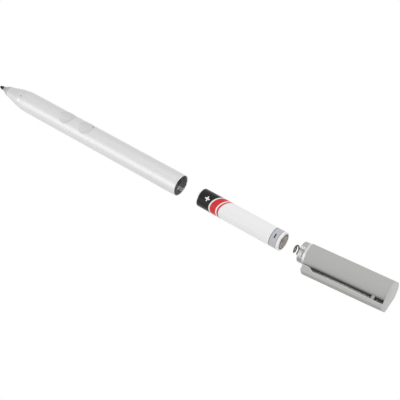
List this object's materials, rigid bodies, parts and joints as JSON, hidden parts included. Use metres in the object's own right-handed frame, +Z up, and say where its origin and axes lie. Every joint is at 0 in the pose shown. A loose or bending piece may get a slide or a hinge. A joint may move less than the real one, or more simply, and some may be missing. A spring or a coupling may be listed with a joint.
{
  "type": "stylus pen",
  "caption": "Round battery stylus laid open: slim metal barrel with tapered nose, nib and flush side buttons, a cylindrical cell, and a screw cap with spring contact and pocket clip.",
  "frame": {"origin": "centre of the barrel's open end", "axes": "+X along the barrel from the tip to the open end, +Z up, towards the side buttons, +Y to the left seen from above with the tip at the left"},
  "size_m": [0.2099, 0.0162, 0.0096],
  "materials": {
    "barrel_metal": "satin anodised",
    "collar_metal": "turned, satin",
    "button_metal": "satin anodised",
    "neck_metal": "turned",
    "cap_metal": "satin, anodised warm grey",
    "nib_plastic": "hard, matt",
    "dark_plastic": "moulded",
    "slick_plastic": "moulded, low friction",
    "flex_film": "printed film",
    "board_laminate": "glass-fibre laminate with green solder mask",
    "chip_plastic": "moulded",
    "board_ceramic": "fired",
    "screw_steel": "zinc plated",
    "spring_steel": "drawn wire",
    "contact_brass": "stamped",
    "can_steel": "nickel-plated, drawn",
    "cell_paste": "pressed powder",
    "jacket_film": "printed shrink film"
  },
  "bodies": {
    "barrel": {"barrel_tube": "barrel_metal", "nose_cone": "barrel_metal", "tip_collar": "collar_metal", "guide_bush": "slick_plastic", "nib_spring": "spring_steel", "pressure_sensor": "dark_plastic", "sensor_flex": "flex_film", "inner_tray": "slick_plastic", "circuit_board": "board_laminate", "board_screws": "screw_steel", "control_chip": "chip_plastic", "board_parts": "board_ceramic", "front_switch": "dark_plastic", "rear_switch": "dark_plastic", "ground_contact": "contact_brass", "contact_insulator": "slick_plastic", "positive_contact": "contact_brass"},
    "nib": {"nib": "nib_plastic", "nib_holder": "dark_plastic"},
    "front_button": {"front_button": "button_metal", "front_plunger": "chip_plastic"},
    "rear_button": {"rear_button": "button_metal", "rear_plunger": "chip_plastic"},
    "battery": {"battery_can": "can_steel", "cell_filling": "cell_paste", "battery_jacket": "jacket_film", "battery_seal": "dark_plastic", "battery_base": "can_steel"},
    "contact_spring": {"contact_spring": "spring_steel"},
    "contact_plate": {"contact_plate": "contact_brass"},
    "cap": {"cap_neck": "neck_metal", "contact_retainer": "dark_plastic", "cap_shell": "cap_metal", "end_plate": "cap_metal"},
    "clip": {"clip_bar": "cap_metal"}
  },
  "joints": [
    {"name": "nib_press", "type": "slide", "parent": "barrel", "child": "nib", "axis": [1, 0, 0], "range_m": [0, 0.0003], "stiffness_N_per_m": 800, "deforming": ["nib_spring"]},
    {"name": "front_press", "type": "slide", "parent": "barrel", "child": "front_button", "axis": [0, 0, -1], "range_m": [0, 0.00025], "stiffness_N_per_m": 1500},
    {"name": "rear_press", "type": "slide", "parent": "barrel", "child": "rear_button", "axis": [0, 0, -1], "range_m": [0, 0.00025], "stiffness_N_per_m": 1500},
    {"name": "battery_insert", "type": "slide", "parent": "barrel", "child": "battery", "axis": [-1, 0, 0], "range_m": [0, 0.0577]},
    {"name": "cap_close", "type": "slide", "parent": "battery", "child": "contact_spring", "axis": [-1, 0, 0], "range_m": [0, 0.00595], "deforming": ["contact_spring"]},
    {"name": "cap_swing", "type": "hinge", "parent": "contact_spring", "child": "contact_plate", "pos_m": [0.0605, 0, 0], "axis": [0, 0, -1], "range_deg": [0, 5]},
    {"name": "cap_turn", "type": "hinge", "parent": "contact_plate", "child": "cap", "pos_m": [0.0605, 0, 0], "axis": [-0.9962, -0.0872, 0], "range_deg": [0, 831.2]},
    {"name": "clip_flex", "type": "hinge", "parent": "cap", "child": "clip", "pos_m": [0.0958, -0.00363, -0.00259], "axis": [0.0315, -0.3602, 0.9323], "range_deg": [0, 3], "stiffness_Nm_per_rad": 1.7}
  ],
  "couplings": [
    {"joint": "cap_swing", "follows": "battery_insert", "rad_per_m": 1.5124},
    {"joint": "cap_turn", "follows": "cap_close", "rad_per_m": 2438.1}
  ]
}
